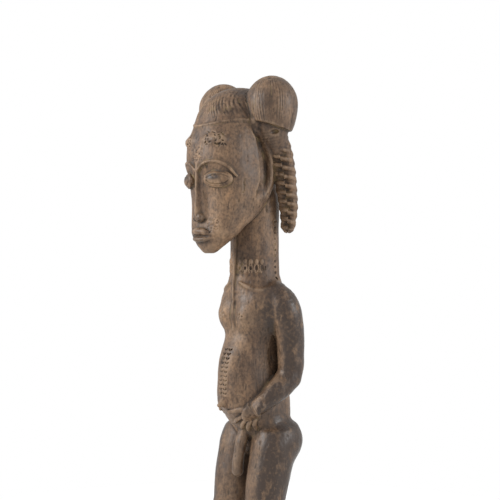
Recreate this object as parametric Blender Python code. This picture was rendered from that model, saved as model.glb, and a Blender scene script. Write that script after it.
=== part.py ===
"""A standing male figure carved from one block of wood, on a round base, at its real size.

The block is divided into the regions that a carver roughs out one by one, and each region is one
closed solid. Neighbours meet at a crease GAP wide. The figure faces -Y, so its left side is +X.
Lengths in the tables below are millimetres, turned into metres when a mesh is made.
"""

import math
from typing import NamedTuple

import bmesh
import bpy
import numpy as np
from mathutils import Matrix, Vector

MM = 0.001
GAP = 0.3  # the crease between two neighbouring regions
CUT_GROWTH = 0.45  # a cutter grows this far along its averaged normals, which leaves about GAP

# Heights above the floor
BASE_TOP = 18.0
ANKLE = 31.0
KNEE = 81.0
CROTCH = 140.0
LOIN_TOP = 178.0
WAIST = 222.0
NECK_FOOT = 271.0
CHIN = 296.0
BROW = 366.0
LOBE_HEIGHT = 413.6
CROWN = 435.0

# Plan dimensions, measured from the neck's axis
BASE_RADIUS = 43.0
BODY_SET_BACK = 9.0  # from the base's centre back to the neck's axis
LEG_OUT = 19.5
ARM_OUT = 32.0
ELBOW_BACK = 8.5
LAID_BACK_SHARE = 0.3
NECK_RADIUS = 20.0
LOBE_OUT = 29.9
LOBE_FORWARD = 8.6
LOBE_RADIUS = 20.8
PLAIT_OUT = 26.5
PLAIT_BACK = 5.0
PLAIT_SWEEP = 7.0  # how much further back the plait hangs at its tip
PLAIT_ROWS = 10

WOOD = (0.155, 0.112, 0.078)
DARK_WOOD = (0.085, 0.060, 0.042)
DUSTY_WOOD = (0.235, 0.180, 0.130)
PLAIN_ROUGHNESS = 0.62
RUBBED_ROUGHNESS = 0.42


class Station(NamedTuple):
    """One key section of a loft: its centre, its two half sizes, and how square its outline is."""

    x: float
    y: float
    z: float
    wide: float
    deep: float
    square: float = 2.0


def clear_scene():
    for item in list(bpy.data.objects):
        bpy.data.objects.remove(item, do_unlink=True)


def wood(name, colour, roughness=PLAIN_ROUGHNESS):
    material = bpy.data.materials.new(name)
    material.use_nodes = True
    shader = material.node_tree.nodes["Principled BSDF"]
    shader.inputs["Base Color"].default_value = (*colour, 1.0)
    shader.inputs["Roughness"].default_value = roughness
    shader.inputs["Metallic"].default_value = 0.0
    material.diffuse_color = (*colour, 1.0)
    return material


def add_object(name, shape, colour, parent, roughness=PLAIN_ROUGHNESS):
    """Turns the bmesh, in millimetres, into an object in metres with its own material."""
    bmesh.ops.recalc_face_normals(shape, faces=shape.faces)
    bmesh.ops.scale(shape, vec=(MM, MM, MM), verts=shape.verts)
    mesh = bpy.data.meshes.new(name)
    shape.to_mesh(mesh)
    shape.free()
    mesh.shade_smooth()
    mesh.set_sharp_from_angle(angle=math.radians(40))
    mesh.materials.append(wood(f"{name}_wood", colour, roughness))
    item = bpy.data.objects.new(name, mesh)
    bpy.context.scene.collection.objects.link(item)
    item.parent = parent
    return item


def smooth_stations(keys, rows):
    """Sections on smooth curves through the key stations, evenly spaced along them."""
    keys = np.array(keys, float)
    steps = np.linalg.norm(np.diff(keys[:, :3], axis=0), axis=1)
    along = np.concatenate([[0.0], np.cumsum(steps)])
    slopes = np.gradient(keys, along, axis=0)
    wanted = np.linspace(0.0, along[-1], rows)
    cell = np.clip(np.searchsorted(along, wanted, "right") - 1, 0, len(along) - 2)
    span = (along[cell + 1] - along[cell])[:, None]
    t = ((wanted - along[cell])[:, None]) / span
    start, end = keys[cell], keys[cell + 1]
    rise = (2 * t**3 - 3 * t**2 + 1) * start + (3 * t**2 - 2 * t**3) * end
    return rise + span * ((t**3 - 2 * t**2 + t) * slopes[cell] + (t**3 - t**2) * slopes[cell + 1])


def outline(wide, deep, square, sides):
    """Points round a superellipse, a plain ellipse where square is 2."""
    turn = np.arange(sides) * 2 * math.pi / sides
    cosine, sine = np.cos(turn), np.sin(turn)
    power = 2.0 / square
    across = wide * np.sign(cosine) * np.abs(cosine) ** power
    along = deep * np.sign(sine) * np.abs(sine) ** power
    return across, along


def skin(shape, loops):
    """Bridges loops of vertices in turn, and closes both ends."""
    for low, high in zip(loops, loops[1:]):
        count = len(low)
        for i in range(count):
            j = (i + 1) % count
            shape.faces.new((low[i], low[j], high[j], high[i]))
    shape.faces.new(loops[0][::-1])
    shape.faces.new(loops[-1])


def stacked_loft(stations, sides):
    """A closed mesh through level outlines, with straight walls between one station and the next."""
    shape = bmesh.new()
    loops = []
    for key in stations:
        across, along = outline(key.wide, key.deep, key.square, sides)
        loops.append([shape.verts.new((key.x + a, key.y + b, key.z)) for a, b in zip(across, along)])
    skin(shape, loops)
    return shape


def upright_loft(keys, rows=7, sides=24):
    """A loft whose sections all lie level."""
    shape = bmesh.new()
    loops = []
    for x, y, z, wide, deep, square in smooth_stations(keys, rows):
        across, along = outline(wide, deep, square, sides)
        loops.append([shape.verts.new((x + a, y + b, z)) for a, b in zip(across, along)])
    skin(shape, loops)
    return shape


def limb_loft(keys, side=(1.0, 0.0, 0.0), rows=8, sides=16, fingers=0, finger_start=0.45):
    """A loft whose sections stand square to its path. Fingers rib its outer face near its end."""
    shape = bmesh.new()
    stations = smooth_stations(keys, rows)
    paths = np.gradient(stations[:, :3], axis=0)
    loops = []
    for row, (station, path) in enumerate(zip(stations, paths)):
        centre = Vector(station[:3])
        tangent = Vector(path).normalized()
        across_axis = (Vector(side) - tangent * Vector(side).dot(tangent)).normalized()
        along_axis = tangent.cross(across_axis)
        across, along = outline(*station[3:6], sides)
        if fingers and row / (rows - 1) > finger_start:
            place = across / station[3] * 0.5 + 0.5
            along = along * (0.86 + 0.14 * np.cos(2 * math.pi * (fingers * place - 0.5)))
        loops.append(
            [shape.verts.new(centre + across_axis * a + along_axis * b) for a, b in zip(across, along)]
        )
    skin(shape, loops)
    return shape


def ball(centre, radii, segments=20, rings=12, turn=None):
    shape = bmesh.new()
    bmesh.ops.create_uvsphere(shape, u_segments=segments, v_segments=rings, radius=1.0)
    bmesh.ops.scale(shape, vec=radii, verts=shape.verts)
    if turn is not None:
        bmesh.ops.rotate(shape, cent=(0, 0, 0), matrix=turn, verts=shape.verts)
    bmesh.ops.translate(shape, vec=centre, verts=shape.verts)
    return shape


def block(low, high, turn=None):
    """A box between two corners, turned about its centre."""
    shape = bmesh.new()
    bmesh.ops.create_cube(shape, size=1.0)
    low, high = Vector(low), Vector(high)
    bmesh.ops.scale(shape, vec=high - low, verts=shape.verts)
    if turn is not None:
        bmesh.ops.rotate(shape, cent=(0, 0, 0), matrix=turn, verts=shape.verts)
    bmesh.ops.translate(shape, vec=(low + high) / 2, verts=shape.verts)
    return shape


def cutter_from(item, growth):
    """A hidden copy of an object's own mesh, grown so that what it cuts clears the object."""
    cutter = bpy.data.objects.new(f"{item.name}_cutter", item.data)
    bpy.context.scene.collection.objects.link(cutter)
    cutter.parent = item.parent
    swell = cutter.modifiers.new("grow", "DISPLACE")
    swell.strength = growth * MM
    swell.mid_level = 0.0
    cutter.hide_render = True
    cutter.display_type = "WIRE"
    return cutter


def as_cutter(item):
    """Marks a helper solid as a cutter, which is left out of the model."""
    item.hide_render = True
    item.display_type = "WIRE"
    return item


def boolean(item, other, operation):
    step = item.modifiers.new(other.name, "BOOLEAN")
    step.operation = operation
    step.solver = "EXACT"
    step.object = other


class Carver:
    """Adds regions, and trims each one clear of the regions that were carved before it."""

    def __init__(self, parent):
        self.parent = parent
        self.cutters = {}

    def add(self, name, shape, colour, clear_of=(), roughness=PLAIN_ROUGHNESS):
        item = add_object(name, shape, colour, self.parent, roughness)
        for other in clear_of:
            boolean(item, self.cutter(other), "DIFFERENCE")
        return item

    def cutter(self, name):
        if name not in self.cutters:
            self.cutters[name] = cutter_from(bpy.data.objects[name], CUT_GROWTH)
        return self.cutters[name]


def mirrored(keys, sign):
    return [key._replace(x=sign * key.x) for key in keys]


def make_base(carver):
    edge = 2.5
    keys = [
        Station(0, -BODY_SET_BACK, 0, BASE_RADIUS - edge, BASE_RADIUS - edge),
        Station(0, -BODY_SET_BACK, edge, BASE_RADIUS, BASE_RADIUS),
        Station(0, -BODY_SET_BACK, BASE_TOP - edge, BASE_RADIUS, BASE_RADIUS),
        Station(0, -BODY_SET_BACK, BASE_TOP, BASE_RADIUS - edge, BASE_RADIUS - edge),
    ]
    carver.add("base", stacked_loft(keys, 40), DARK_WOOD)


def make_leg(carver, label, sign):
    foot = [
        Station(LEG_OUT, 15.0, BASE_TOP + 8, 6.0, 5.0, 2.4),
        Station(LEG_OUT, 12.0, BASE_TOP + 7, 10.5, 6.7, 2.4),
        Station(LEG_OUT + 1, -8.0, BASE_TOP + 6.5, 12.0, 6.2, 2.4),
        Station(LEG_OUT + 2, -28.0, BASE_TOP + 4.8, 12.5, 4.5, 2.6),
        Station(LEG_OUT + 2, -37.0, BASE_TOP + 3.8, 10.5, 3.5, 2.6),
    ]
    shin = [
        Station(LEG_OUT, 3.0, BASE_TOP + 8, 11.0, 12.0),
        Station(LEG_OUT, 3.0, ANKLE + 4, 10.0, 11.0),
        Station(LEG_OUT, 3.5, 55.0, 15.5, 17.0),
        Station(LEG_OUT, -2.0, 68.0, 15.5, 16.5),
        Station(LEG_OUT, -7.5, KNEE - GAP / 2, 16.0, 16.5),
    ]
    thigh = [
        Station(LEG_OUT, -7.5, KNEE + GAP / 2, 16.0, 16.5),
        Station(LEG_OUT, -6.0, 92.0, 17.2, 17.8),
        Station(LEG_OUT, -2.5, 112.0, 18.3, 19.5),
        Station(LEG_OUT + 0.5, 1.0, 128.0, 18.7, 21.5),
        Station(LEG_OUT + 0.5, 3.0, CROTCH - GAP, 18.8, 22.5),
    ]
    foot_shape = limb_loft(mirrored(foot, sign), rows=8, sides=20, fingers=4, finger_start=0.7)
    carver.add(f"foot_{label}", foot_shape, DARK_WOOD, ["base"])
    below = ["base", f"foot_{label}"]
    carver.add(f"lower_leg_{label}", upright_loft(mirrored(shin, sign), 8, 20), WOOD, below)
    carver.add(f"thigh_{label}", upright_loft(mirrored(thigh, sign), 6, 20), WOOD)


def make_trunk(carver):
    """Hips with buttocks, abdomen and chest, stacked from the crotch to the neck."""
    hips = [
        Station(0, 2.0, CROTCH, 31.0, 18.5, 2.7),
        Station(0, 2.0, 150.0, 31.0, 22.0, 2.4),
        Station(0, 0.0, 162.0, 27.5, 26.5, 2.1),
        Station(0, -2.0, LOIN_TOP - GAP / 2, 25.5, 31.5),
    ]
    abdomen = [
        Station(0, -2.0, LOIN_TOP + GAP / 2, 25.5, 31.5),
        Station(0, -3.6, 195.0, 24.0, 30.2),
        Station(0, -3.4, 210.0, 23.0, 27.5),
        Station(0, -1.2, WAIST - GAP / 2, 24.0, 23.5),
    ]
    chest = [
        Station(0, -1.2, WAIST + GAP / 2, 24.0, 23.5),
        Station(0, -0.5, 233.0, 27.5, 24.0),
        Station(0, -1.0, 245.0, 31.0, 25.0, 2.2),
        Station(0, 0.0, 256.0, 30.5, 23.0, 2.2),
        Station(0, 0.5, 265.0, 26.0, 21.5),
        Station(0, 0.5, NECK_FOOT, 21.5, 20.5),
    ]
    carver.add("hips", upright_loft(hips, 6, 28), WOOD)
    carver.add("abdomen", upright_loft(abdomen, 6, 28), WOOD)
    carver.add("chest", upright_loft(chest, 8, 28), WOOD, roughness=RUBBED_ROUGHNESS)
    for label, sign in (("left", 1), ("right", -1)):
        cheek = ball((sign * 17.5, 11.0, 144.0), (17.5, 18.4, 20.0), 20, 12)
        carver.add(f"buttock_{label}", cheek, WOOD, ["hips", f"thigh_{label}"])


def make_trunk_details(carver):
    """The navel, the scar panels and the loin carving, all raised from the trunk."""
    navel = [
        Station(0, -26.0, 173.0, 5.0, 5.0),
        Station(0, -35.0, 172.6, 4.6, 4.6),
        Station(0, -39.0, 172.0, 2.2, 2.2),
    ]
    carver.add("navel", limb_loft(navel, rows=4, sides=12), DUSTY_WOOD, ["hips"])
    panel = [
        Station(0, -24.0, 218.0, 3.6, 3.0, 3.5),
        Station(0, -28.5, 209.5, 5.2, 3.0, 3.5),
        Station(0, -31.5, 200.0, 5.6, 3.0, 3.5),
        Station(0, -33.0, 189.0, 5.6, 3.0, 3.5),
        Station(0, -32.2, LOIN_TOP + 1.2, 4.8, 3.0, 3.5),
    ]
    carver.add("belly_scar_panel", limb_loft(panel, rows=7, sides=16), DUSTY_WOOD, ["abdomen"])
    for label, sign in (("left", 1), ("right", -1)):
        centre = (sign * 11.0, -25.0, 243.5)
        carver.add(f"nipple_{label}", ball(centre, (3.2, 2.6, 3.2), 10, 6), DUSTY_WOOD, ["chest"])
    loin = [
        Station(0, -17.5, 147.0, 3.4, 3.6),
        Station(0, -18.5, 138.0, 4.2, 4.2),
        Station(0, -19.0, 126.0, 5.0, 4.8),
        Station(0, -19.4, 117.0, 4.4, 4.2),
        Station(0, -19.5, 113.0, 2.4, 2.2),
    ]
    below = ["hips", "thigh_left", "thigh_right"]
    carver.add("loin_carving", upright_loft(loin, 7, 14), WOOD, below)


def laid_back(stations):
    """The same sections, moved back towards the elbow: the right hand lies on the flank."""
    moved = []
    for key in stations:
        moved.append(key._replace(y=key.y + (ELBOW_BACK - key.y) * LAID_BACK_SHARE))
    return moved


def make_arm(carver, label, sign):
    upper = [
        Station(25.0, 2.0, 262.0, 9.0, 11.0),
        Station(28.0, 4.0, 255.0, 12.2, 12.8),
        Station(30.5, 5.5, 246.0, 12.8, 13.3),
        Station(ARM_OUT - 0.3, 9.0, 229.0, 11.4, 12.0),
        Station(ARM_OUT + 0.3, 9.8, 205.0, 10.2, 11.0),
        Station(ARM_OUT, 8.3, 192.0, 9.6, 10.2),
    ]
    fore = [
        Station(ARM_OUT - 0.3, 7.5, 190.5, 9.6, 10.2),
        Station(ARM_OUT - 1.3, 1.0, 186.5, 9.5, 10.0),
        Station(ARM_OUT - 2.4, -7.0, 181.5, 8.7, 9.0),
        Station(ARM_OUT - 3.8, -15.5, 175.6, 6.8, 6.4),
    ]
    hand = [
        Station(27.8, -16.5, 174.0, 6.4, 4.9, 2.2),
        Station(25.4, -20.0, 168.4, 8.8, 4.6, 2.4),
        Station(21.0, -24.0, 161.5, 9.4, 3.9, 2.6),
        Station(17.0, -24.5, 153.5, 8.2, 3.0, 2.6),
    ]
    if sign < 0:
        fore, hand = laid_back(fore), laid_back(hand)
    trunk = ["hips", "abdomen"]
    side = (sign * 0.62, 0.45, 0.0)
    carver.add(
        f"upper_arm_{label}",
        limb_loft(mirrored(upper, sign), rows=9, sides=18),
        WOOD,
        ["chest", "abdomen"],
        RUBBED_ROUGHNESS,
    )
    above = [f"upper_arm_{label}"]
    fore_shape = limb_loft(mirrored(fore, sign), side=(0, 0.3, 1), rows=6, sides=16)
    carver.add(f"forearm_{label}", fore_shape, WOOD, trunk + above, RUBBED_ROUGHNESS)
    hand_shape = limb_loft(mirrored(hand, sign), side=side, rows=8, sides=28, fingers=4)
    near = trunk + [f"forearm_{label}", f"thigh_{label}"]
    carver.add(f"hand_{label}", hand_shape, DUSTY_WOOD, near, RUBBED_ROUGHNESS)


def make_head(carver):
    """A long flat-fronted head that juts forward of the neck."""
    head = [
        Station(0, -49.0, CHIN, 7.0, 6.0),
        Station(0, -46.5, 304.0, 16.5, 13.0),
        Station(0, -41.0, 315.0, 23.0, 18.7, 2.2),
        Station(0, -32.5, 330.0, 28.0, 28.5, 2.4),
        Station(0, -26.0, 350.0, 30.5, 36.0, 2.5),
        Station(0, -24.0, BROW, 31.0, 38.0, 2.5),
        Station(0, -22.0, 384.0, 30.5, 38.5, 2.4),
        Station(0, -20.0, 398.0, 27.0, 36.0, 2.2),
        Station(0, -18.0, 407.0, 20.0, 27.0),
    ]
    neck = [
        Station(0, 0.5, NECK_FOOT + GAP, 21.0, 20.8),
        Station(0, 0.0, 279.0, NECK_RADIUS, NECK_RADIUS),
        Station(0, 0.0, 310.0, NECK_RADIUS, NECK_RADIUS),
        Station(0, -2.0, 345.0, NECK_RADIUS, NECK_RADIUS),
    ]
    carver.add("head", upright_loft(head, 12, 28), WOOD)
    carver.add("neck", upright_loft(neck, 5, 24), WOOD, ["head"])
    scar_height = 281.0
    scars = [
        Station(0, 0.0, scar_height - 6.0, NECK_RADIUS + 0.6, NECK_RADIUS + 0.6),
        Station(0, 0.0, scar_height - 2.0, NECK_RADIUS + 2.4, NECK_RADIUS + 2.4),
        Station(0, 0.0, scar_height + 2.0, NECK_RADIUS + 2.4, NECK_RADIUS + 2.4),
        Station(0, 0.0, scar_height + 6.0, NECK_RADIUS + 0.6, NECK_RADIUS + 0.6),
    ]
    carver.add("neck_scar_band", upright_loft(scars, 5, 24), DUSTY_WOOD, ["neck"])


def make_face(carver):
    """Nose, mouth, brows and eyes, raised from the front of the head."""
    nose = [
        Station(0, -60.5, BROW - 1.0, 3.0, 3.0),
        Station(0, -62.5, 350.0, 2.8, 3.4),
        Station(0, -63.6, 335.0, 3.6, 4.0),
        Station(0, -62.8, 324.0, 5.4, 5.0),
        Station(0, -60.5, 320.0, 4.6, 3.8),
    ]
    mouth = [
        Station(-6.5, -55.5, 309.0, 2.6, 3.4),
        Station(-3.5, -58.0, 309.0, 4.2, 4.6),
        Station(3.5, -58.0, 309.0, 4.2, 4.6),
        Station(6.5, -55.5, 309.0, 2.6, 3.4),
    ]
    carver.add("nose", upright_loft(nose, 7, 12), WOOD, ["head"], RUBBED_ROUGHNESS)
    mouth_shape = limb_loft(mouth, side=(0, 0, 1), rows=7, sides=12)
    carver.add("mouth", mouth_shape, DARK_WOOD, ["head", "nose"])
    for label, sign in (("left", 1), ("right", -1)):
        brow = [
            Station(3.8, -61.0, BROW - 1.5, 1.4, 2.0),
            Station(10.0, -61.5, BROW + 2.0, 1.7, 2.4),
            Station(19.0, -58.5, BROW + 1.0, 1.7, 2.4),
            Station(26.5, -52.0, BROW - 6.0, 1.3, 2.0),
        ]
        brow_shape = limb_loft(mirrored(brow, sign), side=(0, 0, 1), rows=7, sides=8)
        carver.add(f"brow_{label}", brow_shape, WOOD, ["head", "nose"])
        turn = Matrix.Rotation(sign * math.radians(22), 3, "Z")
        eye = ball((sign * 15.0, -57.3, 354.5), (9.2, 4.6, 4.6), 16, 8, turn)
        carver.add(f"eye_{label}", eye, DUSTY_WOOD, ["head", "nose", f"brow_{label}"])


def make_hair(carver):
    """A cap above the hairline, two lobes, and a tied plait that hangs behind each lobe."""
    cap = [
        Station(0, -20.0, 332.0, 26.5, 29.0, 2.4),
        Station(0, -22.5, 350.0, 31.5, 36.5, 2.5),
        Station(0, -22.5, BROW, 32.5, 39.5, 2.5),
        Station(0, -21.0, 386.0, 32.0, 40.0, 2.4),
        Station(0, -18.5, 402.0, 28.0, 36.5, 2.3),
        Station(0, -15.5, 414.0, 22.5, 30.0, 2.1),
        Station(0, -12.5, 423.0, 13.0, 18.0),
        Station(0, -11.5, 427.0, 4.0, 7.0),
    ]
    item = carver.add("hair_cap", upright_loft(cap, 11, 28), DARK_WOOD, ["head", "brow_left", "brow_right"])
    slope = Matrix.Rotation(math.radians(-50), 3, "X")
    below_hairline = block((-60, -170, 225), (60, -10, 345), slope)
    face_cutter = as_cutter(add_object("hairline_cutter", below_hairline, WOOD, carver.parent))
    boolean(item, face_cutter, "DIFFERENCE")
    boolean(item, carver.cutter("neck"), "DIFFERENCE")
    for label, sign in (("left", 1), ("right", -1)):
        centre = (sign * LOBE_OUT, -LOBE_FORWARD, LOBE_HEIGHT)
        radii = (LOBE_RADIUS, LOBE_RADIUS, CROWN - LOBE_HEIGHT)
        lobe = ball(centre, radii, 24, 14)
        carver.add(f"hair_lobe_{label}", lobe, DARK_WOOD, ["hair_cap", "head"], RUBBED_ROUGHNESS)
        tie = [
            Station(25.2, -8.5, 399.0, 8.8, 16.5),
            Station(25.6, -3.5, 390.0, 8.6, 14.0),
            Station(25.6, 0.0, 383.0, 8.4, 11.0),
        ]
        tie_shape = limb_loft(mirrored(tie, sign), rows=5, sides=16)
        near = ["hair_cap", "head", f"hair_lobe_{label}"]
        carver.add(f"hair_tie_{label}", tie_shape, DARK_WOOD, near)
        make_hair_rim(carver, label, sign)
        make_plait(carver, label, sign)


def make_hair_rim(carver, label, sign):
    """The raised line that borders the hollow behind the face, from the lobe round to the jaw."""
    rim = [
        Station(30.0, -26.0, 393.0, 1.6, 2.4),
        Station(33.0, -15.0, 382.0, 1.6, 2.6),
        Station(33.6, -9.5, 366.0, 1.6, 2.6),
        Station(32.2, -10.5, 350.0, 1.6, 2.6),
        Station(28.6, -15.0, 337.0, 1.6, 2.4),
    ]
    rim_shape = limb_loft(mirrored(rim, sign), side=(0, 1, 0), rows=9, sides=8)
    near = ["hair_cap", "head", f"hair_lobe_{label}", f"hair_tie_{label}"]
    carver.add(f"hair_rim_{label}", rim_shape, DUSTY_WOOD, near)


def make_plait(carver, label, sign):
    """A tapering braid whose rows bulge, ending in a blunt free tip."""
    top, bottom = 386.0, 309.0
    keys = [Station(sign * PLAIT_OUT, PLAIT_BACK - 1.5, top, 8.0, 7.6)]
    pitch = (top - bottom) / PLAIT_ROWS
    for row in range(PLAIT_ROWS):
        share = (row + 0.5) / PLAIT_ROWS
        x = sign * (PLAIT_OUT + 0.5 * math.sin(math.pi * share))
        y = PLAIT_BACK + PLAIT_SWEEP * share
        size = 9.0 - 2.6 * share
        keys.append(Station(x, y, top - (row + 0.5) * pitch, size, size * 0.92))
        keys.append(Station(x, y, top - (row + 0.98) * pitch, size * 0.86, size * 0.78))
    near = ["hair_cap", "head", "neck", f"hair_lobe_{label}", f"hair_tie_{label}", f"hair_rim_{label}"]
    carver.add(f"plait_{label}", stacked_loft(keys, 12), DUSTY_WOOD, near, RUBBED_ROUGHNESS)


def main():
    clear_scene()
    figure = bpy.data.objects.new("figure_axis", None)
    figure.location.y = BODY_SET_BACK * MM
    bpy.context.scene.collection.objects.link(figure)
    carver = Carver(figure)
    make_base(carver)
    for label, sign in (("left", 1), ("right", -1)):
        make_leg(carver, label, sign)
    make_trunk(carver)
    make_trunk_details(carver)
    for label, sign in (("left", 1), ("right", -1)):
        make_arm(carver, label, sign)
    make_head(carver)
    make_face(carver)
    make_hair(carver)


main()
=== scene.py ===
"""Looks for the carved wooden figure: one sculpted surface, divided into the frame's named regions.

The sculpture is a signed distance field of blended forms, meshed on a grid, then detailed with knife
work. Tables are in millimetres from the neck's axis and the floor, as a carver would set them out.
"""

import math

import bpy
import numpy as np
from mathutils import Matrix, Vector


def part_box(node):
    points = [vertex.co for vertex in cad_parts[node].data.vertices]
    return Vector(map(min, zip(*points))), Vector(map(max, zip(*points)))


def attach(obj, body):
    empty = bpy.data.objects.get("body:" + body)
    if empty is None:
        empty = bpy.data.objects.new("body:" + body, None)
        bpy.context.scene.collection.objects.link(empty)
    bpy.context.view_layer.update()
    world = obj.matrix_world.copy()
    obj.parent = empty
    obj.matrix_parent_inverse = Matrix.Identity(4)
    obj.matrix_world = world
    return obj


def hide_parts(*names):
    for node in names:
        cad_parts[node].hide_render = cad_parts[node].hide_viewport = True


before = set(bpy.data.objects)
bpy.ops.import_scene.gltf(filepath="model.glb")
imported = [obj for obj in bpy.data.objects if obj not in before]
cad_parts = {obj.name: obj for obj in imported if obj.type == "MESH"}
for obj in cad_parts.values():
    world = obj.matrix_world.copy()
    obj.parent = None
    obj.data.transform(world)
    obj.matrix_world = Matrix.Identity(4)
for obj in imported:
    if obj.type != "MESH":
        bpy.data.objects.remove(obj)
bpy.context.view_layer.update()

MM = 0.001
FINE_CELL = 0.6  # grid spacing of the final surface
COARSE_STEP = 4  # fine cells in one coarse cell
FAR = 30.0
REACH = 5.0  # how far outside its own box a form is still measured
SEED = 7
LEAST_PATCH = 20.0  # square millimetres: a smaller patch of a region joins the region around it

neck_low, neck_high = (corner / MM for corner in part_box("neck"))
AXIS_X = (neck_low.x + neck_high.x) / 2
AXIS_Y = (neck_low.y + neck_high.y) / 2
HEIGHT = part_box("hair_lobe_left")[1].z / MM
BASE_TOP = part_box("base")[1].z / MM
BASE_RADIUS = (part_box("base")[1].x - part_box("base")[0].x) / 2 / MM
BASE_Y = (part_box("base")[1].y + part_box("base")[0].y) / 2 / MM - AXIS_Y


# ---------------------------------------------------------------- distance forms


def hermite(keys, at, wanted):
    """Rows of values on smooth curves through the key rows, which stand at the places in `at`."""
    keys, at = np.asarray(keys, float), np.asarray(at, float)
    slopes = np.gradient(keys, at, axis=0)
    cell = np.clip(np.searchsorted(at, wanted, "right") - 1, 0, len(at) - 2)
    span = (at[cell + 1] - at[cell])[:, None]
    t = np.clip((wanted - at[cell])[:, None] / span, 0, 1)
    rise = (2 * t**3 - 3 * t**2 + 1) * keys[cell] + (3 * t**2 - 2 * t**3) * keys[cell + 1]
    return rise + span * ((t**3 - 2 * t**2 + t) * slopes[cell] + (t**3 - t**2) * slopes[cell + 1])


def column(keys, x=0.0, round_end=1.5):
    """An upright form. Each key row is (height, centre y, half width, front, back, squareness)."""
    core = 0.2  # nearer the centre than this share of the radii, the distance is a simple estimate
    keys = np.array(keys, float)
    heights = np.linspace(keys[0, 0], keys[-1, 0], 240)
    table = hermite(keys[:, 1:], keys[:, 0], heights)
    widest = keys[:, 2].max()
    low = (x - widest, (keys[:, 1] - keys[:, 3]).min(), keys[0, 0])
    high = (x + widest, (keys[:, 1] + keys[:, 4]).max(), keys[-1, 0])

    def distance(p):
        centre, wide, front, back, square = (
            np.interp(p[:, 2], heights, table[:, i]).astype(np.float32) for i in range(5)
        )
        across, along = p[:, 0] - x, p[:, 1] - centre
        deep = np.where(along < 0, front, back)
        share = np.abs(across / wide) ** square + np.abs(along / deep) ** square
        share = np.maximum(share, 1e-6) ** (1 / square)
        side = np.hypot(across, along) * (1 - 1 / share)
        side = np.where(share < core, -np.minimum(wide, deep) * (1 - share), side)
        return smooth_max(side, np.maximum(keys[0, 0] - p[:, 2], p[:, 2] - keys[-1, 0]), round_end)

    return low, high, distance


def limb(keys, side=(1.0, 0.0, 0.0), samples=28):
    """A form along a curve. Each key row is (x, y, z, half width, half depth). The width is along `side`."""
    keys = np.array(keys, float)
    steps = np.linalg.norm(np.diff(keys[:, :3], axis=0), axis=1)
    along = np.concatenate([[0.0], np.cumsum(steps)])
    rows = hermite(keys, along, np.linspace(0, along[-1], samples)).astype(np.float32)
    spine, size = rows[:, :3], rows[:, 3:5]
    tangent = np.gradient(spine, axis=0)
    tangent /= np.linalg.norm(tangent, axis=1)[:, None]
    across = np.array(side, np.float32) - (tangent @ np.array(side, np.float32))[:, None] * tangent
    across /= np.linalg.norm(across, axis=1)[:, None]
    other = np.cross(tangent, across)
    reach = size.max()

    def distance(p):
        best = np.full(len(p), 1e9, np.float32)
        place = np.zeros(len(p), np.float32)
        for i in range(samples - 1):
            step = spine[i + 1] - spine[i]
            t = np.clip(((p - spine[i]) @ step) / (step @ step), 0, 1)
            gap = np.linalg.norm(p - spine[i] - t[:, None] * step, axis=1)
            closer = gap < best
            best[closer] = gap[closer]
            place[closer] = i + t[closer]
        low = np.minimum(place.astype(int), samples - 2)
        t = (place - low)[:, None]

        def mixed(rows):
            return rows[low] * (1 - t) + rows[low + 1] * t

        offset = p - mixed(spine)
        wide, deep = mixed(size).T
        u = (offset * mixed(across)).sum(1)
        v = (offset * mixed(other)).sum(1)
        w = (offset * mixed(tangent)).sum(1)
        return scaled_distance((u, v, w), (wide, deep, np.minimum(wide, deep)))

    return tuple(spine.min(0) - reach), tuple(spine.max(0) + reach), distance


def scaled_distance(offset, radii):
    """Roughly the distance to an ellipsoid, from the offset to its centre along its own axes."""
    core = 0.05  # nearer the centre than this share of the radii, the distance stays the same
    length = np.sqrt(sum(o * o for o in offset))
    share = np.sqrt(sum((o / r) ** 2 for o, r in zip(offset, radii)))
    least = np.minimum(np.minimum(radii[0], radii[1]), radii[2])
    return np.where(share > core, length * (1 - 1 / np.maximum(share, core)), -least)


def turned(axes_degrees):
    """The rotation matrix of turns about x, then y, then z."""
    matrix = np.eye(3)
    for axis, degrees in enumerate(axes_degrees):
        c, s = math.cos(math.radians(degrees)), math.sin(math.radians(degrees))
        step = np.eye(3)
        i, j = [(1, 2), (2, 0), (0, 1)][axis]
        step[i, i], step[i, j], step[j, i], step[j, j] = c, -s, s, c
        matrix = step @ matrix
    return matrix


def lump(centre, radii, turn=(0, 0, 0)):
    """An ellipsoid."""
    centre = np.array(centre, np.float32)
    radii = tuple(float(r) for r in radii)
    matrix = turned(turn).astype(np.float32)
    reach = np.sqrt(((matrix * np.array(radii)) ** 2).sum(1))

    def distance(p):
        local = (p - centre) @ matrix
        return scaled_distance(tuple(local.T), radii)

    return tuple(centre - reach), tuple(centre + reach), distance


def smooth_max(a, b, blend):
    """The larger of two distances, rounded over where they differ by less than `blend`."""
    h = np.maximum(blend - np.abs(a - b), 0) / blend
    return np.maximum(a, b) + h * h * blend / 4


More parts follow.
